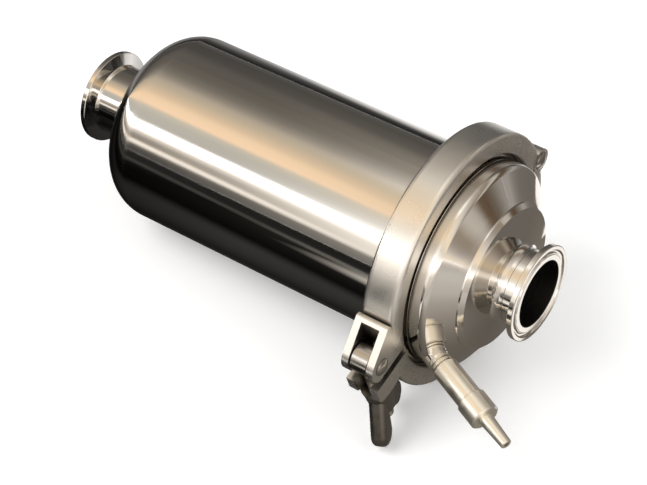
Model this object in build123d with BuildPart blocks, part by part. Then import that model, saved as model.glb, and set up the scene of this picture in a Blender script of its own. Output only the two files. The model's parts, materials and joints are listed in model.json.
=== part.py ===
from build123d import *
from math import asin, atan2, cos, degrees, hypot, pi, radians, sin, sqrt, tan
import os

# Inline sanitary filter housing, lying on its side, in millimetres.
# It is drawn about the X axis, with the flange joint at X = 0 and the lid towards +X.
# In a section plane the first coordinate runs along X and the second is the radius.
# At the end every piece is tilted together, to lie on the clamp and the tail as it does at rest.

# Shell
TUBE_OD = 101.6
WALL = 1.65
HEAD_KNUCKLE = 20.0
HEAD_ARC = 80.0
TAIL_LENGTH = 193.0
HEAD_NECK_LENGTH = 8.0
HEAD_NECK_FILLET = 3.5

# Process ports, the same at both ends. Each rise is counted from the neck's outside.
PORT_NECK_OD = 38.1
PORT_RIM_RISE = 6.2
RIM_THICKNESS = 2.85
RIM_ANGLE = 20.0
TAIL_FERRULE_LENGTH = 21.0
LID_FERRULE_LENGTH = 9.7
PORT_GROOVE_RADIUS = 1.5
PORT_GROOVE_RISE = 2.7
EDGE_ROUND = 0.4

# Flange joint between shell and lid. Each rise is counted from the tube's outside.
FLANGE_RISE = 8.7
BODY_FLANGE_LENGTH = 13.0
GASKET_THICKNESS = 1.8
FLANGE_GROOVE_RISE = 3.7
FLANGE_GROOVE_RADIUS = 1.5
BEAD_CLEARANCE = 0.1
GASKET_INSET = 0.5

# Stepped lid
LID_SHOULDER_RISE = 3.2
LID_FLANGE_LENGTH = 8.1
LID_SHOULDER_LENGTH = 8.0
LID_SHOULDER_ROUND = 4.0
LID_CONE_LENGTH = 9.5
LID_CONE_DROP = 14.9
LID_WALL = 3.0
RIDGE_LAND = 0.9
RIDGE_BEVEL = 2.1
CROWN_ANGLE = 17.4
NECK_FILLET = 4.0
LID_NECK_LENGTH = 4.0

# Cartridge socket inside the lid
SOCKET_BORE = 44.6
SOCKET_WALL = 3.2
SOCKET_MOUTH = 4.0
SOCKET_DEPTH = 21.0
SOCKET_LEAD_IN = 1.0

# Clamp
CLAMP_BACK = 7.6
CLAMP_WIDTH = 18.0
CLAMP_LIP_GRIP = 3.5
CLAMP_ROUND = 2.0
LIP_CHAMFER = 0.6
SEAT_CLEARANCE = 0.35
ROOT_CLEARANCE = 1.0
CLAMP_TURN = 12.0
HINGE_GAP = 1.6

# Swing bolt closure, on the -Y side of the clamp
BOLT_OFFSET = 7.4
BOLT_DIAMETER = 8.0
PIVOT_HEIGHT = 12.0
EYE_R = 7.5
EYE_WIDTH = 9.6
FORK_R = 8.2
FORK_FLOOR = 5.0
EYE_CLEARANCE = 0.4
FORK_SLOT_DEPTH = 9.0
BOLT_REACH = 53.0
LUG_TIP = 8.5
LUG_DEPTH = 24.0
SHANK_CLEARANCE = 0.6
LUG_END_ROUND = 3.0
RIVET_DIAMETER = 6.0
RIVET_HEAD_R = 4.6
RIVET_HEAD_HEIGHT = 1.5
FIT_CLEARANCE = 0.06
SIDE_CLEARANCE = 0.2

# Clamp hinge, opposite the bolt
KNUCKLE_R = 6.5
KNUCKLE_WIDTH = 7.6
KNUCKLE_CLEARANCE = 0.4

# Washer and wing nut
WASHER_R = 8.0
WASHER_THICKNESS = 1.6
WASHER_GAP = 0.3
HUB_BASE_R = 7.6
HUB_TOP_R = 6.2
HUB_HEIGHT = 18.0
HUB_RIM = 1.5
WING_LOBE_R = 7.0
WING_LOBE_OUT = 11.5
WING_LOBE_UP = 27.0
WING_ROOT_R = 4.0
WING_ROOT_OUT = 2.5
WING_ROOT_UP = 6.0
WING_THICKNESS = 8.5
WING_ROUND = 3.0
WING_TURN = 68.0
THREAD_CLEARANCE = 0.08

# Vent valve, standing off the lid's cone. Its station is counted from the start of the cone.
VENT_AZIMUTH = 112.0
VENT_STATION = 2.47
VENT_LEAN = 23.0
BOSS_R = 6.0
BOSS_DEPTH = 8.0
BOSS_TOP = 2.5
BOSS_BORE = 2.0
VENT_COLLAR_R = 5.6
VENT_NECK_R = 4.0
VENT_COLLAR = 1.4
VENT_NECK = 0.9
STEM_R = 4.4
STEM_LENGTH = 13.6
STEM_BORE = 1.5
SEAT_DEPTH = 2.5
SEAT_OPENING = 1.1
VALVE_O_RING = 0.55
STEM_RING_SETBACK = 4.0
SLEEVE_R = 6.6
SLEEVE_GAP = 0.6
SLEEVE_LENGTH = 21.85
SLEEVE_SPIGOT_R = 5.6
SLEEVE_SPIGOT = 3.5
CAP_R = 7.6
CAP_LENGTH = 12.2
CAP_GAP = 0.3
CAP_CHAMBER_R = 5.0
CAP_WALL = 5.6
CAP_CHAMFER = 0.8
NOZZLE_R = 3.7
NOZZLE_TIP_R = 2.8
NOZZLE_REACH = 17.0
NOZZLE_BORE = 1.3
NOZZLE_STEM_R = 2.0
NOZZLE_SHANK_R = 3.4
NOZZLE_SHANK_LEAD = 2.5
NOZZLE_CROSS_HOLE = 0.9
NOZZLE_RING_SETBACK = 3.0
VALVE_CLEARANCE = 0.1

# Filter cartridge
CARTRIDGE_R = 35.0
CARTRIDGE_LENGTH = 125.0
END_CAP_DEPTH = 9.0
SEAT_GAP = 0.2
SPIGOT_CLEARANCE = 0.15
SPIGOT_END_GAP = 3.2
SPIGOT_BORE = 14.5
SPIGOT_RING = 1.7
SPIGOT_RING_START = 6.0
SPIGOT_RING_PITCH = 6.5
RING_CLEARANCE = 0.05
CAGE_INSET = 1.0
CAGE_WALL = 1.5
CORE_R = 18.0
CORE_WALL = 1.5
WINDOW_COLUMNS = 6
CAGE_WINDOW_ROWS = 4
WINDOW_HEIGHT = 19.0
CAGE_WINDOW_WIDTH = 22.0
CORE_WINDOW_WIDTH = 9.0
PLEATS = 36
PLEAT_THICKNESS = 1.6
PLEAT_CLEARANCE = 0.9
FIN_LENGTH = 30.0
FIN_WIDTH = 40.0
FIN_THICKNESS = 4.0
FIN_TIP = 12.0

# Sizes that follow from those above
TUBE_R = TUBE_OD / 2
TUBE_BORE = TUBE_R - WALL
NECK_R = PORT_NECK_OD / 2
PORT_BORE = NECK_R - WALL
RIM_R = NECK_R + PORT_RIM_RISE
RIM_SLOPE = tan(radians(RIM_ANGLE))
PORT_GROOVE_CIRCLE = NECK_R + PORT_GROOVE_RISE
FLANGE_R = TUBE_R + FLANGE_RISE
FLANGE_GROOVE_CIRCLE = TUBE_R + FLANGE_GROOVE_RISE
FLANGE_FACE = GASKET_THICKNESS / 2
FLANGE_BACK = FLANGE_FACE + RIM_THICKNESS
TUBE_END = -(FLANGE_FACE + BODY_FLANGE_LENGTH)
LID_SHOULDER_R = TUBE_R + LID_SHOULDER_RISE
LID_RIDGE_R = LID_SHOULDER_R - LID_CONE_DROP
LID_WELD = FLANGE_FACE + LID_FLANGE_LENGTH
LID_CONE_START = LID_WELD + LID_SHOULDER_LENGTH
LID_CONE_END = LID_CONE_START + LID_CONE_LENGTH
CROWN_SLOPE = tan(radians(CROWN_ANGLE))
SOCKET_R = SOCKET_BORE / 2
SOCKET_FLOOR = SOCKET_MOUTH + SOCKET_DEPTH
CLAMP_LIP_R = FLANGE_R - CLAMP_LIP_GRIP
CLAMP_R = FLANGE_R + CLAMP_BACK
CLAMP_HALF = CLAMP_WIDTH / 2
BOLT_LINE = CLAMP_R + BOLT_OFFSET
BOLT_R = BOLT_DIAMETER / 2
RIVET_R = RIVET_DIAMETER / 2
FORK_SLOT = EYE_WIDTH + 2 * EYE_CLEARANCE
LUG_REACH = BOLT_LINE + LUG_TIP
LUG_SLOT = BOLT_DIAMETER + 2 * SHANK_CLEARANCE
STEM_START = BOSS_TOP + VENT_COLLAR + VENT_NECK + VENT_COLLAR
STEM_END = STEM_START + STEM_LENGTH
STEM_RING_STATION = STEM_END - STEM_RING_SETBACK
SLEEVE_START = STEM_START + SLEEVE_GAP
SLEEVE_END = SLEEVE_START + SLEEVE_LENGTH
SLEEVE_BORE = STEM_R + VALVE_CLEARANCE
CAP_START = SLEEVE_END + CAP_GAP
CAP_END = CAP_START + CAP_LENGTH
NOZZLE_SHANK_START = SLEEVE_END - NOZZLE_SHANK_LEAD
NOZZLE_RING_STATION = CAP_END - NOZZLE_RING_SETBACK
NOZZLE_END = CAP_END + NOZZLE_REACH
SPIGOT_LENGTH = SOCKET_DEPTH + SEAT_GAP - SPIGOT_END_GAP
CAGE_R = CARTRIDGE_R - CAGE_INSET
PLEAT_OUTER_R = CAGE_R - CAGE_WALL - PLEAT_CLEARANCE
PLEAT_INNER_R = CORE_R + PLEAT_THICKNESS + PLEAT_CLEARANCE

SECTION = Plane.XZ


def ferrule_outline(face, rear, side, rim_r, neck_r, bore_r):
    """Points round half the section of a clamp ferrule whose face looks towards side."""
    back = face - side * RIM_THICKNESS
    foot = back - side * (rim_r - neck_r) * RIM_SLOPE
    return [(face, bore_r), (face, rim_r), (back, rim_r), (foot, neck_r), (rear, neck_r), (rear, bore_r)]


# Shell: a drawn tube, a dished head with its pulled neck, and a ferrule welded to each end.
knuckle_station = -TAIL_LENGTH + HEAD_KNUCKLE * sin(radians(HEAD_ARC))
knuckle_station += (TUBE_R - HEAD_KNUCKLE * (1 - cos(radians(HEAD_ARC))) - NECK_R) / tan(radians(HEAD_ARC))
head_neck_end = -TAIL_LENGTH - HEAD_NECK_LENGTH

with BuildPart() as shell_tube:
    with BuildSketch(SECTION):
        with Locations(((knuckle_station + TUBE_END) / 2, TUBE_R - WALL / 2)):
            Rectangle(TUBE_END - knuckle_station, WALL)
    revolve(axis=Axis.X)

with BuildPart() as tail_head:
    with BuildSketch(SECTION):
        with BuildLine():
            knuckle = CenterArc((knuckle_station, TUBE_R - HEAD_KNUCKLE), HEAD_KNUCKLE, 90, HEAD_ARC)
            dish = Line(knuckle @ 1, (-TAIL_LENGTH, NECK_R))
            neck = Line(dish @ 1, (head_neck_end, NECK_R))
            Polyline(neck @ 1, (head_neck_end, 0), (knuckle_station, 0), knuckle @ 0)
        make_face()
        fillet(vertices().group_by(Axis.X)[1], HEAD_NECK_FILLET)
    revolve(axis=Axis.X)
    open_ends = faces().filter_by(GeomType.PLANE).filter_by(Axis.X)
    offset(amount=-WALL, openings=open_ends)

with BuildPart() as tail_ferrule:
    tail_face = head_neck_end - TAIL_FERRULE_LENGTH
    with BuildSketch(SECTION):
        with BuildLine():
            Polyline(*ferrule_outline(tail_face, head_neck_end, -1, RIM_R, NECK_R, PORT_BORE), close=True)
        make_face()
        fillet(vertices().group_by(Axis.Z)[-1], EDGE_ROUND)
        with Locations((tail_face, PORT_GROOVE_CIRCLE)):
            Circle(PORT_GROOVE_RADIUS, mode=Mode.SUBTRACT)
    revolve(axis=Axis.X)

with BuildPart() as body_flange:
    with BuildSketch(SECTION):
        with BuildLine():
            Polyline(*ferrule_outline(-FLANGE_FACE, TUBE_END, 1, FLANGE_R, TUBE_R, TUBE_BORE), close=True)
        make_face()
        fillet(vertices().group_by(Axis.Z)[-1], EDGE_ROUND)
        with Locations((-FLANGE_FACE, FLANGE_GROOVE_CIRCLE)):
            Circle(FLANGE_GROOVE_RADIUS, mode=Mode.SUBTRACT)
    revolve(axis=Axis.X)

# Gasket: a flat ring whose beads sit in both flanges' grooves.
with BuildPart() as flange_gasket:
    with BuildSketch(SECTION):
        with Locations((0, (TUBE_BORE + FLANGE_R - GASKET_INSET) / 2)):
            Rectangle(GASKET_THICKNESS, FLANGE_R - GASKET_INSET - TUBE_BORE)
        with Locations((-FLANGE_FACE, FLANGE_GROOVE_CIRCLE), (FLANGE_FACE, FLANGE_GROOVE_CIRCLE)):
            Circle(FLANGE_GROOVE_RADIUS - BEAD_CLEARANCE)
    revolve(axis=Axis.X)

# Lid: flange ring, shoulder and cone, turned step with the cartridge socket, and the port ferrule.
cone_slope = LID_CONE_DROP / LID_CONE_LENGTH
cone_depth = LID_WALL * sqrt(1 + cone_slope**2)
shoulder_inside = LID_SHOULDER_R - LID_WALL
ridge_top = LID_CONE_END + RIDGE_LAND
crown_station = ridge_top + RIDGE_BEVEL
crown_r = LID_RIDGE_R - RIDGE_BEVEL
neck_station = crown_station + (crown_r - NECK_R) * CROWN_SLOPE
lid_neck_end = neck_station + LID_NECK_LENGTH
lid_face = lid_neck_end + LID_FERRULE_LENGTH

with BuildPart() as lid_flange:
    foot = FLANGE_BACK + (FLANGE_R - LID_SHOULDER_R) * RIM_SLOPE
    with BuildSketch(SECTION):
        with BuildLine():
            Polyline(
                (FLANGE_FACE, TUBE_BORE),
                (FLANGE_FACE, FLANGE_R),
                (FLANGE_BACK, FLANGE_R),
                (foot, LID_SHOULDER_R),
                (LID_WELD, LID_SHOULDER_R),
                (LID_WELD, shoulder_inside),
                close=True,
            )
        make_face()
        fillet(vertices().group_by(Axis.Z)[-1], EDGE_ROUND)
        with Locations((FLANGE_FACE, FLANGE_GROOVE_CIRCLE)):
            Circle(FLANGE_GROOVE_RADIUS, mode=Mode.SUBTRACT)
    revolve(axis=Axis.X)

# The vent's axis leans forward in the radial plane through its foot on the cone.
vent_side = Vector(0, -sin(radians(VENT_AZIMUTH)), cos(radians(VENT_AZIMUTH)))
vent_foot_r = LID_SHOULDER_R - cone_slope * VENT_STATION
vent_foot = Vector(LID_CONE_START + VENT_STATION, 0, 0) + vent_side * vent_foot_r
vent_direction = Vector(cos(radians(VENT_LEAN)), 0, 0) + vent_side * sin(radians(VENT_LEAN))
VENT_AXIS = Axis(vent_foot, vent_direction)
VENT_BASE = Plane(vent_foot, z_dir=vent_direction)
VENT_SECTION = Plane(vent_foot, x_dir=vent_direction, z_dir=vent_side.cross(Vector(1, 0, 0)))

with BuildPart() as lid_cone:
    with BuildSketch(SECTION):
        with BuildLine():
            Polyline(
                (LID_WELD, shoulder_inside),
                (LID_WELD, LID_SHOULDER_R),
                (LID_CONE_START, LID_SHOULDER_R),
                (LID_CONE_END, LID_RIDGE_R),
                (LID_CONE_END, LID_RIDGE_R - cone_depth),
                (LID_CONE_START - (cone_depth - LID_WALL) / cone_slope, shoulder_inside),
                close=True,
            )
        make_face()
        fillet(vertices().group_by(Axis.X)[2], LID_SHOULDER_ROUND)
        fillet(vertices().group_by(Axis.X)[1], LID_SHOULDER_ROUND - LID_WALL)
    revolve(axis=Axis.X)
    with BuildSketch(VENT_BASE):
        Circle(BOSS_BORE)
    extrude(amount=BOSS_DEPTH, both=True, mode=Mode.SUBTRACT)

with BuildPart() as lid_step:
    with BuildSketch(SECTION):
        with BuildLine():
            Polyline(
                (LID_CONE_END, LID_RIDGE_R),
                (ridge_top, LID_RIDGE_R),
                (crown_station, crown_r),
                (neck_station, NECK_R),
                (lid_neck_end, NECK_R),
                (lid_neck_end, PORT_BORE),
                (SOCKET_FLOOR, PORT_BORE),
                (SOCKET_FLOOR, SOCKET_R),
                (SOCKET_MOUTH + SOCKET_LEAD_IN, SOCKET_R),
                (SOCKET_MOUTH, SOCKET_R + SOCKET_LEAD_IN),
                (SOCKET_MOUTH, SOCKET_R + SOCKET_WALL),
                (LID_CONE_END, SOCKET_R + SOCKET_WALL),
                close=True,
            )
        make_face()
        fillet(vertices().group_by(Axis.X)[-2], NECK_FILLET)
    revolve(axis=Axis.X)

with BuildPart() as lid_ferrule:
    with BuildSketch(SECTION):
        with BuildLine():
            Polyline(*ferrule_outline(lid_face, lid_neck_end, 1, RIM_R, NECK_R, PORT_BORE), close=True)
        make_face()
        fillet(vertices().group_by(Axis.Z)[-1], EDGE_ROUND)
        with Locations((lid_face, PORT_GROOVE_CIRCLE)):
            Circle(PORT_GROOVE_RADIUS, mode=Mode.SUBTRACT)
    revolve(axis=Axis.X)

# Clamp: two grooved half rings. They are drawn with the bolt straight out at -Y,
# on planes that CLAMP_TURN carries round to where the bolt really is.
clamp_y = Vector(0, cos(radians(CLAMP_TURN)), sin(radians(CLAMP_TURN)))
clamp_z = Vector(0, -sin(radians(CLAMP_TURN)), cos(radians(CLAMP_TURN)))
CLAMP_PLANE = Plane((0, 0, 0), x_dir=clamp_y, z_dir=(1, 0, 0))
CLAMP_FLOOR = Plane((0, 0, 0), x_dir=(1, 0, 0), z_dir=clamp_z)
groove_root = FLANGE_R + ROOT_CLEARANCE
groove_root_half = FLANGE_BACK + SEAT_CLEARANCE - ROOT_CLEARANCE * RIM_SLOPE
groove_lip_half = FLANGE_BACK + SEAT_CLEARANCE + (FLANGE_R - CLAMP_LIP_R) * RIM_SLOPE
pivot = (-BOLT_LINE, PIVOT_HEIGHT)
hinge = (CLAMP_R, 0)


def clamp_point(along, y, z):
    """A point given in the clamp's own axes."""
    return Vector(along, 0, 0) + clamp_y * y + clamp_z * z


def ring_blank():
    """The ring's section with rounded outer corners and its groove still closed."""
    with BuildSketch(SECTION) as blank:
        with Locations((0, (CLAMP_LIP_R + CLAMP_R) / 2)):
            Rectangle(CLAMP_WIDTH, CLAMP_R - CLAMP_LIP_R)
        fillet(vertices().group_by(Axis.Z)[-1], CLAMP_ROUND)
        chamfer(vertices().group_by(Axis.Z)[0], LIP_CHAMFER)
    return blank.sketch


def groove_section():
    """The V groove that draws the flanges together, open towards the axis."""
    with BuildSketch(SECTION) as groove:
        with BuildLine():
            Polyline(
                (-groove_root_half, groove_root),
                (groove_root_half, groove_root),
                (groove_lip_half, CLAMP_LIP_R),
                (CLAMP_WIDTH, CLAMP_LIP_R),
                (CLAMP_WIDTH, 0),
                (-CLAMP_WIDTH, 0),
                (-CLAMP_WIDTH, CLAMP_LIP_R),
                (-groove_lip_half, CLAMP_LIP_R),
                close=True,
            )
        make_face()
    return groove.sketch


def knuckle_room(knuckle_width, centre):
    """Solid that leaves room for one of the other half's knuckles."""
    with BuildPart() as room:
        with BuildSketch(CLAMP_PLANE.offset(centre)):
            with Locations(hinge):
                Circle(KNUCKLE_R + KNUCKLE_CLEARANCE)
        extrude(amount=knuckle_width / 2 + SIDE_CLEARANCE, both=True)
    return room.part


outer_knuckle = (CLAMP_WIDTH - KNUCKLE_WIDTH) / 2 - SIDE_CLEARANCE
outer_centre = CLAMP_HALF - outer_knuckle / 2
front_room = knuckle_room(outer_knuckle, outer_centre)
rear_room = knuckle_room(outer_knuckle, -outer_centre)
middle_room = knuckle_room(KNUCKLE_WIDTH, 0)
fork_root = -CLAMP_R + 2 * CLAMP_ROUND

with BuildPart() as clamp_upper:
    revolve(ring_blank(), axis=Axis.X)
    with BuildSketch(CLAMP_PLANE):
        with Locations(pivot):
            Circle(FORK_R)
        with Locations((fork_root, PIVOT_HEIGHT + 2 * FORK_R), (fork_root, FORK_FLOOR + CLAMP_ROUND)):
            Circle(CLAMP_ROUND)
        make_hull()
    extrude(amount=CLAMP_HALF, both=True)
    with BuildSketch(CLAMP_FLOOR.offset(FORK_FLOOR)):
        with Locations((0, -CLAMP_R)):
            Rectangle(CLAMP_WIDTH * 2, CLAMP_R * 2)
    extrude(amount=-CLAMP_R * 2, mode=Mode.SUBTRACT)
    with BuildSketch(CLAMP_FLOOR.offset(HINGE_GAP / 2)):
        with Locations((0, CLAMP_R)):
            Rectangle(CLAMP_WIDTH * 2, CLAMP_R * 2)
    extrude(amount=-CLAMP_R * 2, mode=Mode.SUBTRACT)
    with BuildSketch(CLAMP_PLANE):
        with Locations(hinge):
            Circle(KNUCKLE_R)
    extrude(amount=KNUCKLE_WIDTH / 2, both=True)
    add([front_room, rear_room], mode=Mode.SUBTRACT)
    revolve(groove_section(), axis=Axis.X, mode=Mode.SUBTRACT)
    with BuildSketch(CLAMP_FLOOR.offset(PIVOT_HEIGHT)):
        with Locations((0, -BOLT_LINE)):
            Rectangle(FORK_SLOT, FORK_SLOT_DEPTH * 2)
    extrude(amount=CLAMP_R, both=True, mode=Mode.SUBTRACT)
    with BuildSketch(CLAMP_PLANE):
        with Locations(pivot):
            Circle(RIVET_R + FIT_CLEARANCE)
        with Locations(hinge):
            Circle(RIVET_R + FIT_CLEARANCE)
    extrude(amount=CLAMP_WIDTH, both=True, mode=Mode.SUBTRACT)

with BuildPart() as clamp_lower:
    revolve(ring_blank(), axis=Axis.X)
    with BuildSketch(CLAMP_PLANE):
        with Locations(((-CLAMP_LIP_R - LUG_REACH) / 2, (PIVOT_HEIGHT - LUG_DEPTH) / 2)):
            Rectangle(LUG_REACH - CLAMP_LIP_R, LUG_DEPTH - PIVOT_HEIGHT)
        with Locations(pivot):
            Circle(LUG_DEPTH, mode=Mode.INTERSECT)
        fillet(vertices().group_by(Axis.Y)[0], LUG_END_ROUND)
    extrude(amount=CLAMP_HALF, both=True)
    with BuildSketch(CLAMP_FLOOR):
        with Locations((0, -CLAMP_R)):
            Rectangle(CLAMP_WIDTH * 2, CLAMP_R * 2)
    extrude(amount=CLAMP_R * 2, mode=Mode.SUBTRACT)
    with BuildSketch(CLAMP_FLOOR.offset(-HINGE_GAP / 2)):
        with Locations((0, CLAMP_R)):
            Rectangle(CLAMP_WIDTH * 2, CLAMP_R * 2)
    extrude(amount=CLAMP_R * 2, mode=Mode.SUBTRACT)
    for centre in (outer_centre, -outer_centre):
        with BuildSketch(CLAMP_PLANE.offset(centre)):
            with Locations(hinge):
                Circle(KNUCKLE_R)
        extrude(amount=outer_knuckle / 2, both=True)
    add(middle_room, mode=Mode.SUBTRACT)
    revolve(groove_section(), axis=Axis.X, mode=Mode.SUBTRACT)
    with BuildSketch(CLAMP_FLOOR):
        with Locations((0, -BOLT_LINE)):
            Circle(LUG_SLOT / 2)
        with Locations((0, -BOLT_LINE - LUG_DEPTH / 2)):
            Rectangle(LUG_SLOT, LUG_DEPTH)
    extrude(amount=LUG_DEPTH, both=True, mode=Mode.SUBTRACT)
    with BuildSketch(CLAMP_PLANE):
        with Locations(hinge):
            Circle(RIVET_R + FIT_CLEARANCE)
    extrude(amount=CLAMP_WIDTH, both=True, mode=Mode.SUBTRACT)


def rivet(place):
    """A rivet through the clamp's full width, with a domed head on each face."""
    height = CLAMP_HALF + SIDE_CLEARANCE
    dome = (RIVET_HEAD_R**2 + RIVET_HEAD_HEIGHT**2) / (2 * RIVET_HEAD_HEIGHT)
    with BuildPart() as pin:
        with BuildSketch(Plane(clamp_point(0, *place), x_dir=(1, 0, 0), z_dir=clamp_y)):
            with BuildLine():
                Polyline((0, 0), (0, RIVET_R), (height, RIVET_R), (height, RIVET_HEAD_R))
                RadiusArc((height, RIVET_HEAD_R), (height + RIVET_HEAD_HEIGHT, 0), dome)
                Line((height + RIVET_HEAD_HEIGHT, 0), (0, 0))
            make_face()
        revolve(axis=Axis(clamp_point(0, *place), (1, 0, 0)))
        mirror(about=Plane.YZ)
    return pin


hinge_rivet = rivet(hinge)
bolt_rivet = rivet(pivot)

# Swing bolt: an eye on the fork's rivet and a plain shank down the bolt's line.
bolt_end = PIVOT_HEIGHT - BOLT_REACH
with BuildPart() as swing_bolt:
    with BuildSketch(CLAMP_PLANE):
        with Locations(pivot):
            Circle(EYE_R)
    extrude(amount=EYE_WIDTH / 2, both=True)
    chamfer(edges().filter_by(GeomType.CIRCLE), EDGE_ROUND)
    with BuildSketch(CLAMP_FLOOR.offset(PIVOT_HEIGHT)):
        with Locations((0, -BOLT_LINE)):
            Circle(BOLT_R)
    extrude(amount=-BOLT_REACH)
    shank_tip = edges().filter_by(GeomType.CIRCLE).sort_by(Axis(clamp_point(0, 0, 0), clamp_z))[0]
    chamfer(shank_tip, EDGE_ROUND * 2)
    with BuildSketch(CLAMP_PLANE):
        with Locations(pivot):
            Circle(RIVET_R + FIT_CLEARANCE)
    extrude(amount=EYE_WIDTH, both=True, mode=Mode.SUBTRACT)

# The washer bears under the lug, whose underside is round about the bolt's pivot.
washer_top = PIVOT_HEIGHT - LUG_DEPTH - WASHER_GAP
with BuildPart() as nut_washer:
    with BuildSketch(CLAMP_FLOOR.offset(washer_top)):
        with Locations((0, -BOLT_LINE)):
            Circle(WASHER_R)
            Circle(BOLT_R + 2 * THREAD_CLEARANCE, mode=Mode.SUBTRACT)
    extrude(amount=-WASHER_THICKNESS)

# Wing nut: a tapered hub and two steep rounded wings.
nut_base = washer_top - WASHER_THICKNESS - THREAD_CLEARANCE
nut_origin = clamp_point(0, -BOLT_LINE, nut_base)
wing_side = Vector(1, 0, 0) * cos(radians(WING_TURN)) - clamp_y * sin(radians(WING_TURN))
NUT_SECTION = Plane(nut_origin, x_dir=wing_side, z_dir=clamp_z.cross(wing_side))
with BuildPart() as wing:
    with BuildSketch(NUT_SECTION):
        with Locations((WING_LOBE_OUT, WING_LOBE_UP)):
            Circle(WING_LOBE_R)
        with Locations((WING_ROOT_OUT, WING_ROOT_UP)):
            Circle(WING_ROOT_R)
        make_hull()
    extrude(amount=WING_THICKNESS / 2, both=True)
    flats = faces().filter_by(Axis(nut_origin, NUT_SECTION.z_dir))
    fillet(flats.edges(), WING_ROUND)

with BuildPart() as wing_nut:
    with BuildSketch(NUT_SECTION):
        with BuildLine():
            Polyline(
                (0, 0),
                (HUB_BASE_R, 0),
                (HUB_BASE_R, HUB_RIM),
                (HUB_TOP_R, HUB_HEIGHT),
                (0, HUB_HEIGHT),
                close=True,
            )
        make_face()
    revolve(axis=Axis(nut_origin, clamp_z))
    add(wing.part)
    mirror(wing.part, about=Plane(nut_origin, z_dir=wing_side))
    with BuildSketch(Plane(nut_origin, x_dir=(1, 0, 0), z_dir=clamp_z)):
        Circle(BOLT_R + THREAD_CLEARANCE)
    extrude(amount=BOLT_REACH, both=True, mode=Mode.SUBTRACT)

# Vent valve: a coped boss on the cone, a fixed stem, and a sleeve that screws along it
# and carries the nozzle, whose flange is held between the sleeve and its end cap.
with BuildPart() as vent_boss:
    with BuildSketch(VENT_BASE):
        Circle(BOSS_R)
    extrude(amount=BOSS_TOP)
    extrude(faces().sort_by(VENT_AXIS)[0], amount=BOSS_DEPTH)
    with BuildSketch(SECTION):
        with BuildLine():
            Polyline(
                (0, 0),
                (0, LID_SHOULDER_R),
                (LID_CONE_START, LID_SHOULDER_R),
                (LID_CONE_END, LID_RIDGE_R),
                (LID_CONE_END, 0),
                close=True,
            )
        make_face()
        fillet(vertices().group_by(Axis.X)[1], LID_SHOULDER_ROUND)
    revolve(axis=Axis.X, mode=Mode.SUBTRACT)
    chamfer(edges().filter_by(GeomType.CIRCLE).sort_by(VENT_AXIS)[-1], EDGE_ROUND)
    with BuildSketch(VENT_BASE):
        Circle(BOSS_BORE)
    extrude(amount=BOSS_DEPTH, both=True, mode=Mode.SUBTRACT)

collar_top = BOSS_TOP + VENT_COLLAR
neck_top = collar_top + VENT_NECK
ring_half = VALVE_O_RING + VALVE_CLEARANCE
stem_ring_root = SLEEVE_BORE - 2 * VALVE_O_RING - VALVE_CLEARANCE
with BuildPart() as valve_body:
    with BuildSketch(VENT_SECTION):
        with BuildLine():
            Polyline(
                (BOSS_TOP, STEM_BORE),
                (BOSS_TOP, VENT_COLLAR_R),
                (collar_top, VENT_COLLAR_R),
                (collar_top, VENT_NECK_R),
                (neck_top, VENT_NECK_R),
                (neck_top, VENT_COLLAR_R),
                (STEM_START, VENT_COLLAR_R),
                (STEM_START, STEM_R),
                (STEM_RING_STATION - ring_half, STEM_R),
                (STEM_RING_STATION - ring_half, stem_ring_root),
                (STEM_RING_STATION + ring_half, stem_ring_root),
                (STEM_RING_STATION + ring_half, STEM_R),
                (STEM_END, STEM_R),
                (STEM_END, STEM_BORE + SEAT_OPENING),
                (STEM_END - SEAT_DEPTH, STEM_BORE),
                close=True,
            )
        make_face()
    revolve(axis=VENT_AXIS)


def valve_ring(station, bore):
    """An O-ring of the valve that reaches almost to the given bore."""
    with BuildPart() as ring:
        with BuildSketch(VENT_SECTION):
            with Locations((station, bore - VALVE_O_RING - VALVE_CLEARANCE / 2)):
                Circle(VALVE_O_RING)
        revolve(axis=VENT_AXIS)
    return ring


stem_o_ring = valve_ring(STEM_RING_STATION, SLEEVE_BORE)

spigot_end = SLEEVE_END + SLEEVE_SPIGOT
with BuildPart() as valve_sleeve:
    with BuildSketch(VENT_SECTION):
        with BuildLine():
            Polyline(
                (SLEEVE_START, SLEEVE_BORE),
                (SLEEVE_START, SLEEVE_R),
                (SLEEVE_END, SLEEVE_R),
                (SLEEVE_END, SLEEVE_SPIGOT_R),
                (spigot_end, SLEEVE_SPIGOT_R),
                (spigot_end, SLEEVE_BORE),
                close=True,
            )
        make_face()
    revolve(axis=VENT_AXIS)
    mouth = edges().filter_by(GeomType.CIRCLE).group_by(VENT_AXIS)[0]
    chamfer(mouth.sort_by(SortBy.LENGTH)[-1], CAP_CHAMFER)

cap_wall_start = CAP_END - CAP_WALL
with BuildPart() as valve_end_cap:
    with BuildSketch(VENT_SECTION):
        with BuildLine():
            Polyline(
                (CAP_START, SLEEVE_SPIGOT_R + VALVE_CLEARANCE),
                (CAP_START, CAP_R - EDGE_ROUND),
                (CAP_START + EDGE_ROUND, CAP_R),
                (CAP_END - CAP_CHAMFER, CAP_R),
                (CAP_END, CAP_R - CAP_CHAMFER),
                (CAP_END, NOZZLE_R + VALVE_CLEARANCE),
                (cap_wall_start, NOZZLE_R + VALVE_CLEARANCE),
                (cap_wall_start, CAP_CHAMBER_R),
                (spigot_end + VALVE_CLEARANCE, CAP_CHAMBER_R),
                (spigot_end + VALVE_CLEARANCE, SLEEVE_SPIGOT_R + VALVE_CLEARANCE),
                close=True,
            )
        make_face()
    revolve(axis=VENT_AXIS)

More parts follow.
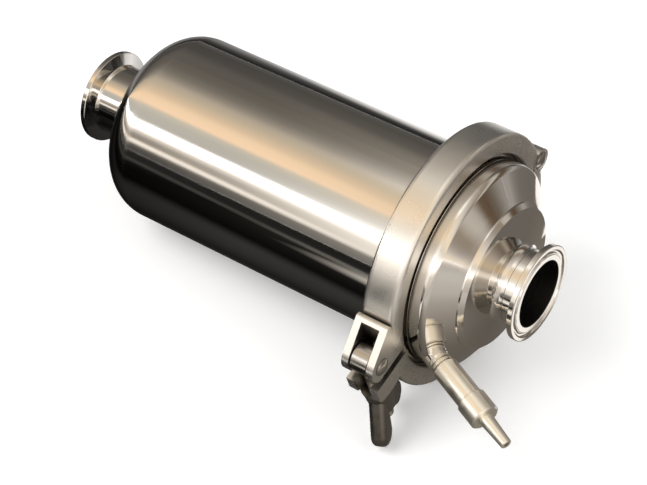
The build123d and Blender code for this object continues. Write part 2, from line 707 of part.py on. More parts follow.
seat_gap = 2 * VALVE_CLEARANCE
needle_tip = STEM_END - SEAT_DEPTH + seat_gap
needle_end = STEM_END + seat_gap
flange_start = spigot_end + seat_gap
flange_end = cap_wall_start - seat_gap
nozzle_ring_root = NOZZLE_R - 2 * VALVE_O_RING + VALVE_CLEARANCE / 2
with BuildPart() as valve_nozzle:
    with BuildSketch(VENT_SECTION):
        with BuildLine():
            Polyline(
                (needle_tip, 0),
                (needle_tip, STEM_BORE - seat_gap),
                (needle_end, NOZZLE_STEM_R),
                (NOZZLE_SHANK_START, NOZZLE_STEM_R),
                (NOZZLE_SHANK_START, NOZZLE_SHANK_R),
                (flange_start, NOZZLE_SHANK_R),
                (flange_start, CAP_CHAMBER_R - VALVE_CLEARANCE),
                (flange_end, CAP_CHAMBER_R - VALVE_CLEARANCE),
                (flange_end, NOZZLE_R),
                (NOZZLE_RING_STATION - ring_half, NOZZLE_R),
                (NOZZLE_RING_STATION - ring_half, nozzle_ring_root),
                (NOZZLE_RING_STATION + ring_half, nozzle_ring_root),
                (NOZZLE_RING_STATION + ring_half, NOZZLE_R),
                (CAP_END + CAP_GAP, NOZZLE_R),
                (NOZZLE_END - EDGE_ROUND, NOZZLE_TIP_R),
                (NOZZLE_END, NOZZLE_TIP_R - EDGE_ROUND),
                (NOZZLE_END, 0),
                close=True,
            )
        make_face()
    revolve(axis=VENT_AXIS)
    cross_hole = (needle_end + NOZZLE_SHANK_START) / 2
    with BuildSketch(VENT_BASE.offset(cross_hole)):
        Circle(NOZZLE_BORE)
    extrude(amount=NOZZLE_END, mode=Mode.SUBTRACT)
    with BuildSketch(VENT_SECTION):
        with Locations((cross_hole, 0)):
            Circle(NOZZLE_CROSS_HOLE)
    extrude(amount=NOZZLE_R, both=True, mode=Mode.SUBTRACT)

nozzle_o_ring = valve_ring(NOZZLE_RING_STATION, NOZZLE_R + VALVE_CLEARANCE)

# Filter cartridge: it pushes into the lid's socket and hangs in the shell.
cap_face = SOCKET_MOUTH - SEAT_GAP
cap_back = cap_face - END_CAP_DEPTH
closed_face = cap_face - CARTRIDGE_LENGTH
closed_front = closed_face + END_CAP_DEPTH
spigot_r = SOCKET_R - SPIGOT_CLEARANCE
spigot_ring_r = SOCKET_R - RING_CLEARANCE - SPIGOT_RING
first_ring = cap_face + SPIGOT_RING_START
spigot_rings = (first_ring, first_ring + SPIGOT_RING_PITCH)
ring_room = 2 * (SPIGOT_RING + RING_CLEARANCE)

with BuildPart() as open_end_cap:
    with BuildSketch(SECTION):
        with BuildLine():
            Polyline(
                (cap_back, SPIGOT_BORE),
                (cap_back, CARTRIDGE_R),
                (cap_face, CARTRIDGE_R),
                (cap_face, spigot_r),
                (cap_face + SPIGOT_LENGTH, spigot_r),
                (cap_face + SPIGOT_LENGTH, SPIGOT_BORE),
                close=True,
            )
        make_face()
        for station in spigot_rings:
            with Locations((station, SOCKET_R)):
                Rectangle(ring_room, 2 * ring_room, mode=Mode.SUBTRACT)
    revolve(axis=Axis.X)

with BuildPart() as spigot_o_rings:
    with BuildSketch(SECTION):
        for station in spigot_rings:
            with Locations((station, spigot_ring_r)):
                Circle(SPIGOT_RING)
    revolve(axis=Axis.X)

with BuildPart() as closed_end_cap:
    with BuildSketch(SECTION):
        with Locations(((closed_face + closed_front) / 2, CARTRIDGE_R / 2)):
            Rectangle(END_CAP_DEPTH, CARTRIDGE_R)
        fillet(vertices().group_by(Axis.X)[0].group_by(Axis.Z)[-1], EDGE_ROUND)
    revolve(axis=Axis.X)
    for fin_plane in (Plane.XZ, Plane.XY):
        with BuildSketch(fin_plane):
            with BuildLine():
                Polyline(
                    (closed_face, FIN_WIDTH / 2),
                    (closed_face - FIN_LENGTH / 2, FIN_WIDTH / 2),
                    (closed_face - FIN_LENGTH, FIN_TIP / 2),
                    (closed_face - FIN_LENGTH, -FIN_TIP / 2),
                    (closed_face - FIN_LENGTH / 2, -FIN_WIDTH / 2),
                    (closed_face, -FIN_WIDTH / 2),
                    close=True,
                )
            make_face()
        extrude(amount=FIN_THICKNESS / 2, both=True)

window_pitch = (cap_back - closed_front) / CAGE_WINDOW_ROWS


def windowed_tube(outer_r, wall, window_width):
    """A moulded support tube between the end caps, with rows of rectangular windows."""
    with BuildPart() as tube:
        with BuildSketch(SECTION):
            with Locations(((cap_back + closed_front) / 2, outer_r - wall / 2)):
                Rectangle(cap_back - closed_front, wall)
        revolve(axis=Axis.X)
        for column in range(WINDOW_COLUMNS):
            turn = 360 / WINDOW_COLUMNS * (column + 0.5)
            side = Vector(0, sin(radians(turn)), cos(radians(turn)))
            with BuildSketch(Plane((closed_front, 0, 0), x_dir=(1, 0, 0), z_dir=side)):
                for row in range(CAGE_WINDOW_ROWS):
                    with Locations((window_pitch * (row + 0.5), 0)):
                        Rectangle(WINDOW_HEIGHT, window_width)
            extrude(amount=outer_r + wall, mode=Mode.SUBTRACT)
    return tube


cartridge_cage = windowed_tube(CAGE_R, CAGE_WALL, CAGE_WINDOW_WIDTH)
cartridge_core = windowed_tube(CORE_R, CORE_WALL, CORE_WINDOW_WIDTH)


def pleat_points(shift):
    """Corners of the folded sheet's zigzag, seen along the axis, drawn in by shift."""
    step = pi / PLEATS
    radii = (PLEAT_OUTER_R - shift, PLEAT_INNER_R - shift)
    return [(radii[i % 2] * cos(i * step), radii[i % 2] * sin(i * step)) for i in range(2 * PLEATS)]


with BuildPart() as filter_media:
    with BuildSketch(Plane.YZ.offset(closed_front)):
        with BuildLine():
            Polyline(*pleat_points(0), close=True)
        make_face()
        with BuildLine():
            Polyline(*pleat_points(PLEAT_THICKNESS), close=True)
        make_face(mode=Mode.SUBTRACT)
    extrude(amount=cap_back - closed_front)

# At rest the clamp's rear edge and the head's knuckle both touch the floor.
edge_station = -CLAMP_HALF + CLAMP_ROUND
edge_r = CLAMP_R - CLAMP_ROUND
span = edge_station - knuckle_station
drop = edge_r - (TUBE_R - HEAD_KNUCKLE)
rest_tilt = degrees(atan2(drop, span) - asin((HEAD_KNUCKLE - CLAMP_ROUND) / hypot(span, drop)))
TILT = Location((0, 0, 0), (0, -rest_tilt, 0))

pieces = {
    "shell_tube": shell_tube,
    "tail_head": tail_head,
    "tail_ferrule": tail_ferrule,
    "body_flange": body_flange,
    "flange_gasket": flange_gasket,
    "lid_flange": lid_flange,
    "lid_cone": lid_cone,
    "lid_step": lid_step,
    "lid_ferrule": lid_ferrule,
    "clamp_upper": clamp_upper,
    "clamp_lower": clamp_lower,
    "hinge_rivet": hinge_rivet,
    "bolt_rivet": bolt_rivet,
    "swing_bolt": swing_bolt,
    "nut_washer": nut_washer,
    "wing_nut": wing_nut,
    "vent_boss": vent_boss,
    "valve_body": valve_body,
    "stem_o_ring": stem_o_ring,
    "valve_sleeve": valve_sleeve,
    "valve_end_cap": valve_end_cap,
    "valve_nozzle": valve_nozzle,
    "nozzle_o_ring": nozzle_o_ring,
    "open_end_cap": open_end_cap,
    "spigot_o_rings": spigot_o_rings,
    "closed_end_cap": closed_end_cap,
    "cartridge_cage": cartridge_cage,
    "cartridge_core": cartridge_core,
    "filter_media": filter_media,
}

whole = Compound(children=[piece.part.moved(TILT) for piece in pieces.values()]).bounding_box()
middle = whole.center()
PLACE = Location((-middle.X, -middle.Y, -whole.min.Z)) * TILT

os.makedirs("parts", exist_ok=True)
for name, piece in pieces.items():
    piece.part.label = name
    piece.part.move(PLACE)
    export_step(piece.part, f"parts/{name}.step")
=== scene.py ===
import json
from math import atan2, tau

import bpy
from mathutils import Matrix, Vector

# Looks of the inline filter housing: materials, welds and threads, floor, light and camera.
# Everything is in metres, in the frame of the CAD model.

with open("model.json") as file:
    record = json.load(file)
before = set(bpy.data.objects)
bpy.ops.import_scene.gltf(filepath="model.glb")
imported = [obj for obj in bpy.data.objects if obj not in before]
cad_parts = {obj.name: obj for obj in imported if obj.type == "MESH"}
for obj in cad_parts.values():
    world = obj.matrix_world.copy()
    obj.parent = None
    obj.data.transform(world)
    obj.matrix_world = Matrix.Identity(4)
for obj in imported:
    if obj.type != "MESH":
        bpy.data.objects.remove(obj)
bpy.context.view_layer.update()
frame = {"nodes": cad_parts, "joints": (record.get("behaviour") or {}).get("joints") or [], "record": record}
nodes = frame["nodes"]


def named(entries, name):
    """The entry of a list in the record that has this name."""
    return next(entry for entry in entries if entry["name"] == name)


# The housing's own axes: X along it towards the lid, with the origin in the flange joint.
# It lies on its clamp and its closed end, so X is tilted.
lid_bore = named(frame["record"]["mounts"], "lid_port_bore")
BORE_FROM_JOINT = 0.0369125
AXIS = Vector(lid_bore["axis"])
JOINT = Vector(lid_bore["pos_m"]) - BORE_FROM_JOINT * AXIS
TILT = (0, -atan2(AXIS.z, AXIS.x), 0)

# Camera, at the photograph's viewing angle
CAMERA_PLACE = (0.3974, -0.5506, 0.8441)
CAMERA_AIM = (0.0092, -0.0151, 0.0516)
CAMERA_LENS = 114.0

# Reflectance of the metals
STEEL = (0.80, 0.775, 0.74)
SMEARED_STEEL = (0.76, 0.735, 0.70)
# Painted shade: the near-black colour that the port bores are darkened to
BORE_SHADE_COLOUR = (0.05, 0.046, 0.042)
CAST_STEEL = (0.88, 0.855, 0.81)
CLOUDED_STEEL = (0.80, 0.77, 0.72)
# Painted shade: the colour that the clamp's recesses are darkened to
RECESS_SHADE_COLOUR = (0.13, 0.112, 0.092)
BOLT_STEEL = (0.50, 0.48, 0.45)
NUT_STEEL = (0.34, 0.32, 0.29)
VALVE_STEEL = (0.93, 0.90, 0.82)

# Colours of the other materials, darkest and lightest
RUBBER = ((0.012, 0.012, 0.012), (0.03, 0.03, 0.03))
PLASTIC = ((0.74, 0.74, 0.72), (0.82, 0.82, 0.80))
FIBRE = ((0.70, 0.70, 0.67), (0.86, 0.86, 0.84))
BLACK = (0, 0, 0)
WHITE = (1, 1, 1)

# Roughness, least and most, and how much rougher the welds and the port bores are
POLISHED = (0.04, 0.10)
TUMBLED = (0.23, 0.33)
TURNED_BOLT = (0.16, 0.26)
TURNED_NUT = (0.22, 0.32)
TURNED_VALVE = (0.30, 0.40)
MOULDED_RUBBER = (0.45, 0.65)
MOULDED_PLASTIC = (0.40, 0.55)
MATT_FIBRE = 0.9
WELD_ROUGHER = 0.05
BORE_ROUGHER = 0.4

# Depth of the relief
POLISHED_GRAIN = 0.000004
WELD_SCRATCH = 0.000012
SHEET_WAVE = 0.0002
CAST_PIT = 0.000003
CAST_SWELL = 0.00006
LATHE_MARK = 0.000012
RUBBER_SKIN = 0.00003
PLASTIC_GRAIN = 0.00001
FIBRE_RELIEF = 0.00008

# Welds that are dressed and polished over, as stations along the housing's axis. Their level
# rises and falls at so many widths from the station.
WELD_RANGE = (-0.25, 0.06)
WELDS = (-0.201, -0.1706, -0.0139, 0.009, 0.0265, 0.0391)
WELD_WIDTH = 0.0015
WELD_LEVELS = ((-2.0, 0), (-0.8, 1), (0.8, 1), (2.0, 0))

# Inside this radius the polished pieces are the port bores, which are painted dark as shade.
BORE_LIMIT = 0.0178

# Painted shade in the clamp's narrow recesses: how far an edge shades them, and the openness that stays
# fully dark
RECESS_REACH = 0.014
RECESS_OPENNESS = 0.15

# The bolt's thread: its pitch, and where it begins on the nut's axis
THREAD_PITCH = 0.00125
THREAD_START = -0.008

# Values that a noise stays between nearly everywhere, and those that the smears' polish uses
NOISE_RANGE = (0.3, 0.7)
SMEAR_RANGE = (0.35, 0.7)

# Sockets of a Mix node that mixes colours, whose names its other sockets share
MIX_FIRST, MIX_SECOND, MIX_RESULT = 6, 7, 2


class Tree:
    """A shader's nodes under construction."""

    def __init__(self, tree):
        self.tree = tree

    def node(self, kind, **values):
        made = self.tree.nodes.new(kind)
        for key, value in values.items():
            setattr(made, key, value)
        return made

    def feed(self, value, slot):
        """Links another node's socket to the slot, or sets a plain number, vector or colour."""
        if isinstance(value, bpy.types.NodeSocket):
            self.tree.links.new(value, slot)
        elif slot.type == "RGBA":
            slot.default_value = (*value, 1)
        else:
            slot.default_value = value

    def coordinates(self, kind):
        return self.node("ShaderNodeTexCoord").outputs[kind]

    def ray(self, kind):
        """1 for rays of one kind, 0 for all others."""
        return self.node("ShaderNodeLightPath").outputs[kind]

    def parts(self, vector):
        """The X, Y and Z of a vector."""
        made = self.node("ShaderNodeSeparateXYZ")
        self.feed(vector, made.inputs["Vector"])
        return made.outputs

    def number(self, operation, *values):
        """A sum on sockets and plain numbers."""
        made = self.node("ShaderNodeMath", operation=operation)
        for value, slot in zip(values, made.inputs):
            self.feed(value, slot)
        return made.outputs["Value"]

    def remap(self, value, source, target=(0, 1), curve="LINEAR"):
        """Carries the values of one range over to another."""
        made = self.node("ShaderNodeMapRange", interpolation_type=curve)
        names = ("Value", "From Min", "From Max", "To Min", "To Max")
        for name, number in zip(names, (value, *source, *target)):
            self.feed(number, made.inputs[name])
        return made.outputs["Result"]

    def blend(self, share, first, second):
        """The first colour at a share of 0, the second at 1, and a mix of both between."""
        made = self.node("ShaderNodeMix", data_type="RGBA")
        self.feed(share, made.inputs["Factor"])
        self.feed(first, made.inputs[MIX_FIRST])
        self.feed(second, made.inputs[MIX_SECOND])
        return made.outputs[MIX_RESULT]

    def ramp(self, value, stops, limits=(0, 1)):
        """The colour that a list of (value, colour) gives to a value between the limits."""
        made = self.node("ShaderNodeValToRGB")
        elements = made.color_ramp.elements
        low, high = limits
        for index, (number, colour) in enumerate(stops):
            spot = (number - low) / (high - low)
            stop = elements[index] if index < 2 else elements.new(spot)
            stop.position = spot
            stop.color = (*colour, 1)
        self.feed(self.remap(value, limits), made.inputs["Fac"])
        return made.outputs["Color"]

    def tint(self, value, dark, light):
        """A colour that runs from dark to light with a value from 0 to 1."""
        return self.ramp(value, [(0, dark), (1, light)])


class Surface(Tree):
    """A procedural material under construction, with its Principled shader."""

    def __init__(self, name):
        self.material = bpy.data.materials.new(name)
        self.material.use_nodes = True
        super().__init__(self.material.node_tree)

    def coat(self, sockets):
        """Feeds the shader's sockets and gives the finished material."""
        shader = self.tree.nodes["Principled BSDF"]
        for name, value in sockets.items():
            self.feed(value, shader.inputs[name])
        return self.material

    def within(self, origin, turn):
        """Coordinates in axes of their own."""
        mapping = self.node("ShaderNodeMapping", vector_type="TEXTURE")
        self.feed(self.coordinates("Object"), mapping.inputs["Vector"])
        self.feed(origin, mapping.inputs["Location"])
        self.feed(turn, mapping.inputs["Rotation"])
        return mapping.outputs["Vector"]

    def noise(self, along, across, detail, roughness=0.5):
        """Noise with so many cells to a metre along the housing and across it."""
        scaled = self.node("ShaderNodeVectorMath", operation="MULTIPLY")
        self.feed(self.within(JOINT, TILT), scaled.inputs[0])
        self.feed((along, across, across), scaled.inputs[1])
        made = self.node("ShaderNodeTexNoise")
        self.feed(scaled.outputs["Vector"], made.inputs["Vector"])
        self.feed(1.0, made.inputs["Scale"])
        self.feed(detail, made.inputs["Detail"])
        self.feed(roughness, made.inputs["Roughness"])
        return made.outputs["Fac"]

    def bump(self, height, distance, under=None):
        """Raises the surface by height, on top of an earlier bump."""
        made = self.node("ShaderNodeBump")
        self.feed(distance, made.inputs["Distance"])
        self.feed(height, made.inputs["Height"])
        if under is not None:
            self.feed(under, made.inputs["Normal"])
        return made.outputs["Normal"]

    def painted_recess_shade(self, colour, dark):
        """Darkens a colour in the recesses as painted shade, by the ambient occlusion there."""
        depth = self.node("ShaderNodeAmbientOcclusion", samples=12)
        self.feed(RECESS_REACH, depth.inputs["Distance"])
        openness = self.remap(depth.outputs["AO"], (RECESS_OPENNESS, 1.0))
        return self.blend(openness, dark, colour)


def weld_bands(steel, along):
    """1 on the welds and 0 between them."""
    stops = [(WELD_RANGE[0], BLACK)]
    for station in WELDS:
        for widths, level in WELD_LEVELS:
            stops.append((station + widths * WELD_WIDTH, (level, level, level)))
    return steel.ramp(along, stops, WELD_RANGE)


def polished_steel():
    """Mirror polish with soft smears and dressed weld bands, left dull in the port bores and painted
    near-black there as shade.
    """
    steel = Surface("polished_steel")
    along, side, height = steel.parts(steel.within(JOINT, TILT))
    side_squared = steel.number("MULTIPLY", side, side)
    height_squared = steel.number("MULTIPLY", height, height)
    radius = steel.number("SQRT", steel.number("ADD", side_squared, height_squared))
    inside = steel.number("LESS_THAN", radius, BORE_LIMIT)
    band = weld_bands(steel, along)
    smears = steel.noise(9, 40, detail=5, roughness=0.6)
    polish = steel.remap(smears, SMEAR_RANGE, POLISHED)
    dressed = steel.number("MULTIPLY_ADD", band, WELD_ROUGHER, polish)
    grain = steel.noise(160, 2600, detail=2)
    scratches = steel.noise(2200, 90, detail=3)
    waves = steel.noise(5, 26, detail=1)
    relief = steel.bump(grain, POLISHED_GRAIN)
    relief = steel.bump(steel.number("MULTIPLY", band, scratches), WELD_SCRATCH, under=relief)
    return steel.coat({
        "Metallic": 1.0,
        # In the port bores the colour is painted near-black as shade
        "Base Color": steel.blend(inside, steel.tint(smears, SMEARED_STEEL, STEEL), BORE_SHADE_COLOUR),
        "Roughness": steel.number("MULTIPLY_ADD", inside, BORE_ROUGHER, dressed),
        "Normal": steel.bump(waves, SHEET_WAVE, under=relief),
    })


def satin_steel():
    """Investment-cast clamp, tumbled to a soft sheen, with painted shade darkening its recesses."""
    steel = Surface("satin_steel")
    cloud = steel.noise(55, 55, detail=5, roughness=0.6)
    pits = steel.noise(1100, 1100, detail=3)
    swell = steel.noise(60, 60, detail=1)
    return steel.coat({
        "Metallic": 0.97,
        # The base colour carries painted shade in the recesses
        "Base Color": steel.painted_recess_shade(steel.tint(cloud, CLOUDED_STEEL, CAST_STEEL), RECESS_SHADE_COLOUR),
        "Roughness": steel.remap(cloud, NOISE_RANGE, TUMBLED),
        "Normal": steel.bump(swell, CAST_SWELL, under=steel.bump(pits, CAST_PIT)),
    })


def threaded_steel():
    """Swing bolt: turned steel whose free end carries a thread about the nut's own axis."""
    steel = Surface("threaded_steel")
    joint = named(frame["joints"], "nut_turn")
    turn = Vector(joint["axis"]).to_track_quat("Z", "Y").to_euler()
    side, front, along = steel.parts(steel.within(joint["pos_m"], turn))
    share_of_turn = steel.number("DIVIDE", steel.number("ARCTAN2", front, side), tau)
    helix = steel.number("SUBTRACT", steel.number("DIVIDE", along, THREAD_PITCH), share_of_turn)
    flank = steel.number("PINGPONG", helix, 0.5)
    threaded = steel.remap(along, (THREAD_START - THREAD_PITCH, THREAD_START))
    cloud = steel.noise(200, 200, detail=3)
    return steel.coat({
        "Metallic": 1.0,
        "Base Color": BOLT_STEEL,
        "Roughness": steel.remap(cloud, NOISE_RANGE, TURNED_BOLT),
        "Normal": steel.bump(steel.number("MULTIPLY", flank, threaded), THREAD_PITCH),
    })


def turned_steel(name, colour, roughness):
    """Machined parts, with the fine rings a lathe leaves."""
    steel = Surface(name)
    cloud = steel.noise(200, 200, detail=3)
    marks = steel.noise(2500, 1200, detail=2)
    return steel.coat({
        "Metallic": 1.0,
        "Base Color": colour,
        "Roughness": steel.remap(cloud, NOISE_RANGE, roughness),
        "Normal": steel.bump(marks, LATHE_MARK),
    })


def elastomer():
    """Black seal rubber with a fine moulded skin."""
    rubber = Surface("seal_rubber")
    cloud = rubber.noise(400, 400, detail=4)
    return rubber.coat({
        "Base Color": rubber.tint(cloud, *RUBBER),
        "Roughness": rubber.remap(cloud, NOISE_RANGE, MOULDED_RUBBER),
        "Normal": rubber.bump(cloud, RUBBER_SKIN),
    })


def moulded_plastic():
    """White moulded cartridge parts."""
    plastic = Surface("cartridge_plastic")
    cloud = plastic.noise(60, 60, detail=3)
    grain = plastic.noise(1500, 1500, detail=2)
    return plastic.coat({
        "Base Color": plastic.tint(cloud, *PLASTIC),
        "Roughness": plastic.remap(cloud, NOISE_RANGE, MOULDED_PLASTIC),
        "Normal": plastic.bump(grain, PLASTIC_GRAIN),
    })


def media_sheet():
    """Fibrous pleated sheet."""
    sheet = Surface("media_sheet")
    fibres = sheet.noise(900, 1500, detail=6, roughness=0.7)
    return sheet.coat({
        "Base Color": sheet.tint(fibres, *FIBRE),
        "Roughness": MATT_FIBRE,
        "Normal": sheet.bump(fibres, FIBRE_RELIEF),
    })


materials = {
    "polished_steel": polished_steel(),
    "satin_steel": satin_steel(),
    "fastener_steel": turned_steel("fastener_steel", BOLT_STEEL, TURNED_BOLT),
    "valve_steel": turned_steel("valve_steel", VALVE_STEEL, TURNED_VALVE),
    "seal_rubber": elastomer(),
    "cartridge_plastic": moulded_plastic(),
    "media_sheet": media_sheet(),
}

for entry in frame["record"]["subparts"]:
    shown = nodes[entry["node"]].data.materials
    shown.clear()
    shown.append(materials[entry["material_slot"]])
nodes["swing_bolt"].data.materials[0] = threaded_steel()
nodes["wing_nut"].data.materials[0] = turned_steel("nut_steel", NUT_STEEL, TURNED_NUT)

# Floor, lifted to white for the camera alone
FLOOR_SIZE = 6.0
FLOOR_COLOUR = (0.93, 0.93, 0.925)
FLOOR_LIFT = 0.22

# What the steel mirrors of the table, as a painted reflection: a glowing card just above the floor that only
# reflections see.
CARD_SIZE = 5.0
CARD_HEIGHT = 0.0003

# Along the tube, by Y: near-black before and under it, with a pale edge far in front, and white
# behind it
CARD_LEFT = [
    (-1.0, (0.07, 0.065, 0.06)),
    (-0.43, (0.08, 0.075, 0.07)),
    (-0.40, (0.26, 0.25, 0.23)),
    (-0.33, (0.24, 0.23, 0.21)),
    (-0.29, (0.03, 0.028, 0.025)),
    (-0.18, (0.012, 0.011, 0.010)),
    (-0.12, (0.004, 0.004, 0.004)),
    (-0.09, (0.045, 0.043, 0.042)),
    (-0.065, (0.035, 0.033, 0.031)),
    (-0.04, (0.012, 0.011, 0.010)),
    (0.04, (0.10, 0.10, 0.10)),
    (0.09, (1.15, 1.13, 1.12)),
    (0.17, (1.0, 0.98, 0.97)),
    (0.24, (0.75, 0.73, 0.72)),
    (0.36, (0.32, 0.31, 0.30)),
    (0.6, (0.14, 0.135, 0.13)),
    (1.0, (0.10, 0.095, 0.09)),
]

# Before the lid, by X
CARD_RIGHT = [
    (0.05, (0.10, 0.09, 0.08)),
    (0.13, (0.16, 0.145, 0.12)),
    (0.18, (0.27, 0.24, 0.21)),
    (0.25, (0.38, 0.34, 0.30)),
    (0.45, (0.58, 0.54, 0.49)),
    (1.0, (0.66, 0.62, 0.57)),
]

# Behind the lid, by Y
CARD_REAR = [
    (0.0, (0.13, 0.115, 0.10)),
    (0.06, (0.16, 0.14, 0.12)),
    (0.09, (0.20, 0.175, 0.15)),
    (0.165, (0.17, 0.15, 0.13)),
    (0.4, (0.20, 0.18, 0.165)),
    (1.0, (0.40, 0.37, 0.34)),
]

# A light patch painted into the card's glow before the clamp, with soft edges in X and Y
PATCH = (1.15, 1.08, 0.98)
PATCH_SIDE_EDGE = (-0.09, 0.01)
PATCH_REAR_EDGE = (-0.19, -0.25)

# Where one stretch of the card runs into the next, and where its left grows dim
TUBE_TO_LID = (0.05, 0.09)
BEFORE_TO_BEHIND = (-0.03, 0.01)
DIM_RANGE = (-0.18, -0.05)
DIM_LEVEL = 0.25

# Glowing white sheets on the card, painted reflections that the lid mirrors: near corner, far corner and
# brightness
SHEETS = [
    ((0.070, 0.105), (0.112, 0.175), 1.15),
    ((0.155, 0.010), (0.205, 0.100), 1.15),
]
SHEET_HEIGHT = 0.0006
SHEET_COLOUR = (1.0, 0.97, 0.93)

# The room that the steel mirrors, as colours by the angle round the X axis: 0 is straight up,
# 90 the horizon in front and -90 the horizon behind. The tube mirrors the far left of it, the
# clamp and the lid's rings its middle, and the lid's cone its right-hand side.
ANGLES = (-90, 90)
ROOM_LEFT = [
    (-90, (0.105, 0.10, 0.095)),
    (-82, (0.075, 0.070, 0.065)),
    (-68, (0.085, 0.079, 0.072)),
    (-56, (0.125, 0.115, 0.10)),
    (-41, (0.135, 0.122, 0.106)),
    (-30, (0.17, 0.153, 0.13)),
    (-20, (0.235, 0.21, 0.175)),
    (-12, (0.36, 0.32, 0.265)),
    (-5, (0.54, 0.47, 0.37)),
    (4, (0.68, 0.56, 0.41)),
    (12, (0.86, 0.66, 0.46)),
    (20, (1.12, 0.84, 0.56)),
    (29, (1.20, 0.88, 0.60)),
    (33, (0.74, 0.67, 0.55)),
    (39, (0.63, 0.60, 0.53)),
    (50, (0.60, 0.57, 0.52)),
    (52.5, (1.6, 1.55, 1.5)),
    (54, (3.8, 3.7, 3.6)),
    (61, (3.8, 3.65, 3.5)),
    (63.5, (1.1, 1.0, 0.9)),
    (70, (0.38, 0.34, 0.29)),
    (75, (0.28, 0.24, 0.19)),
    (77.5, (1.3, 1.2, 1.08)),
    (80.5, (1.2, 1.1, 0.97)),
    (82.5, (0.12, 0.11, 0.10)),
    (87, (0.06, 0.055, 0.05)),
    (90, (0.07, 0.065, 0.06)),
]
ROOM_MIDDLE = [
    (-90, (0.11, 0.105, 0.10)),
    (-80, (0.095, 0.09, 0.08)),
    (-62, (0.15, 0.138, 0.12)),
    (-41, (0.44, 0.39, 0.33)),
    (-28, (0.60, 0.54, 0.46)),
    (-18, (0.95, 0.89, 0.80)),
    (-7, (1.40, 1.33, 1.22)),
    (4, (0.95, 0.82, 0.62)),
    (14, (0.92, 0.74, 0.53)),
    (26, (1.0, 0.80, 0.57)),
    (36, (1.05, 0.95, 0.80)),
    (45, (1.3, 1.25, 1.17)),
    (53, (2.2, 2.15, 2.1)),
    (61, (2.2, 2.1, 2.0)),
    (67, (1.25, 1.18, 1.08)),
    (79, (1.0, 0.93, 0.84)),
    (83, (0.30, 0.28, 0.25)),
    (90, (0.22, 0.205, 0.185)),
]
ROOM_RIGHT = [
    (-90, (0.36, 0.33, 0.30)),
    (-84, (0.22, 0.19, 0.16)),
    (-77, (0.12, 0.08, 0.05)),
    (-71, (0.16, 0.11, 0.07)),
    (-65, (0.55, 0.50, 0.45)),
    (-58, (0.62, 0.57, 0.50)),
    (-48, (0.34, 0.28, 0.21)),
    (-36, (0.38, 0.33, 0.28)),
    (-18, (0.62, 0.56, 0.50)),
    (-6, (0.82, 0.74, 0.66)),
    (10, (1.0, 0.88, 0.70)),
    (24, (1.12, 0.92, 0.68)),
    (38, (0.90, 0.82, 0.72)),
    (50, (1.6, 1.5, 1.4)),
    (60, (1.6, 1.5, 1.4)),
    (66, (0.9, 0.82, 0.72)),
    (82, (0.66, 0.60, 0.53)),
    (90, (0.60, 0.55, 0.49)),
]

# Where one part of the room runs into the next, as the X of the direction
LEFT_TO_MIDDLE = (-0.57, -0.43)
MIDDLE_TO_RIGHT = (-0.20, 0.12)

# Matt surfaces get plain daylight, and the camera sees a white backdrop.
DAYLIGHT_STRENGTH = 0.55
BACKDROP = (0.97, 0.97, 0.968)

# Lamps that light the floor and don't show in the steel: place, width and power
LAMPS = {
    "key": ((-0.7, -0.9, 1.6), 1.2, 22),
    "fill": ((1.0, 0.6, 1.5), 1.4, 10),
}


def floor_paper():
    """Matt paper that the camera sees as white."""
    paper = Surface("floor_paper")
    return paper.coat({
        "Base Color": FLOOR_COLOUR,
        "Roughness": 0.85,
        "Specular IOR Level": 0.2,
        "Emission Color": WHITE,
        "Emission Strength": paper.number("MULTIPLY", paper.ray("Is Camera Ray"), FLOOR_LIFT),
    })


def painted_reflection_card():
    """Glow of the card, a painted reflection: left for the tube, and right of it a part before the lid and
    one behind.
    """
    card_glow = Surface("painted_reflection_card")
    side, back, _ = card_glow.parts(card_glow.coordinates("Object"))
    patch = card_glow.number("MULTIPLY", card_glow.remap(side, PATCH_SIDE_EDGE), card_glow.remap(back, PATCH_REAR_EDGE))
    by_tube = card_glow.blend(patch, card_glow.ramp(back, CARD_LEFT, (-1, 1)), PATCH)
    before_lid = card_glow.ramp(side, CARD_RIGHT)
    behind_lid = card_glow.ramp(back, CARD_REAR)
    by_lid = card_glow.blend(card_glow.remap(back, BEFORE_TO_BEHIND), before_lid, behind_lid)
    return card_glow.coat({
        "Base Color": BLACK,
        "Specular IOR Level": 0.0,
        "Emission Color": card_glow.blend(card_glow.remap(side, TUBE_TO_LID), by_tube, by_lid),
        "Emission Strength": card_glow.remap(side, DIM_RANGE, (DIM_LEVEL, 1)),
    })


def painted_reflection_sheet(level):
    """Plain white glow, a painted reflection."""
    return Surface("painted_reflection_sheet").coat({
        "Base Color": BLACK,
        "Specular IOR Level": 0.0,
        "Emission Color": SHEET_COLOUR,
        "Emission Strength": level,
    })


def plane(name, size, place, material):
    """A level sheet of the studio, by its width, depth and middle."""
    width, depth = size
    corners = [(x * width / 2, y * depth / 2, 0) for x, y in ((-1, -1), (1, -1), (1, 1), (-1, 1))]
    mesh = bpy.data.meshes.new(name)
    mesh.from_pydata(corners, [], [(0, 1, 2, 3)])
    mesh.materials.append(material)
    made = bpy.data.objects.new(name, mesh)
    made.location = place
    bpy.context.scene.collection.objects.link(made)
    return made


def only_mirrored(made):
    """Leaves an object to reflections alone."""
    made.visible_camera = False
    made.visible_diffuse = False
    made.visible_shadow = False


plane("floor", (FLOOR_SIZE, FLOOR_SIZE), (0, 0, 0), floor_paper())
# The card and the sheets are painted reflections that glow for reflections alone
only_mirrored(plane("card", (CARD_SIZE, CARD_SIZE), (0, 0, CARD_HEIGHT), painted_reflection_card()))
for (left, near), (right, far), level in SHEETS:
    middle = ((left + right) / 2, (near + far) / 2, SHEET_HEIGHT)
    only_mirrored(plane("sheet", (right - left, far - near), middle, painted_reflection_sheet(level)))


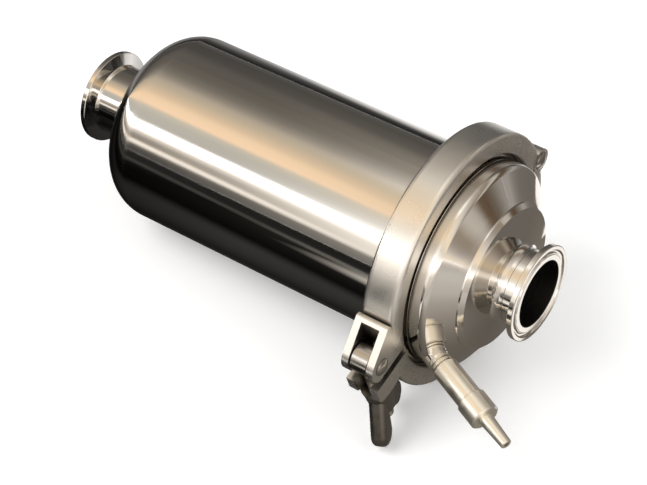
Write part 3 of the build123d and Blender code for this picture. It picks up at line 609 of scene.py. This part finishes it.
def mirrored_room(studio):
    """Colour of the room in the mirrored direction."""
    side, back, up = studio.parts(studio.coordinates("Generated"))
    front = studio.number("MULTIPLY", back, -1)
    angle = studio.number("DEGREES", studio.number("ARCTAN2", front, up))
    left, middle, right = (
        studio.ramp(angle, stops, ANGLES) for stops in (ROOM_LEFT, ROOM_MIDDLE, ROOM_RIGHT)
    )
    near_lid = studio.blend(studio.remap(side, LEFT_TO_MIDDLE, curve="SMOOTHSTEP"), left, middle)
    return studio.blend(studio.remap(side, MIDDLE_TO_RIGHT, curve="SMOOTHSTEP"), near_lid, right)


def build_world():
    """The room for reflections, plain daylight for matt surfaces, white for the camera."""
    world = bpy.data.worlds.new("studio")
    bpy.context.scene.world = world
    world.use_nodes = True
    world.node_tree.nodes.clear()
    studio = Tree(world.node_tree)

    def background(colour, strength):
        made = studio.node("ShaderNodeBackground")
        studio.feed(colour, made.inputs["Color"])
        studio.feed(strength, made.inputs["Strength"])
        return made.outputs["Background"]

    def either(ray, others, these):
        """One background for rays of a kind, and another for all others."""
        made = studio.node("ShaderNodeMixShader")
        for value, slot in zip((studio.ray(ray), others, these), made.inputs):
            studio.feed(value, slot)
        return made.outputs["Shader"]

    daylight = background(WHITE, DAYLIGHT_STRENGTH)
    unseen = either("Is Glossy Ray", daylight, background(mirrored_room(studio), 1.0))
    seen = either("Is Camera Ray", unseen, background(BACKDROP, 1.0))
    studio.feed(seen, studio.node("ShaderNodeOutputWorld").inputs["Surface"])


build_world()


def stand(made, place, aim):
    """Puts a lamp or camera in its place and turns it to its aim."""
    made.location = place
    made.rotation_euler = (Vector(aim) - Vector(place)).to_track_quat("-Z", "Y").to_euler()
    bpy.context.scene.collection.objects.link(made)


for name, (place, width, power) in LAMPS.items():
    softbox = bpy.data.lights.new(name, "AREA")
    softbox.shape = "SQUARE"
    softbox.size = width
    softbox.energy = power
    lamp = bpy.data.objects.new(name, softbox)
    lamp.visible_glossy = False
    stand(lamp, place, (0, 0, 0))

camera = bpy.data.objects.new("camera", bpy.data.cameras.new("camera"))
camera.data.lens = CAMERA_LENS
stand(camera, CAMERA_PLACE, CAMERA_AIM)
bpy.context.scene.camera = camera
bpy.context.scene.view_settings.view_transform = "Standard"
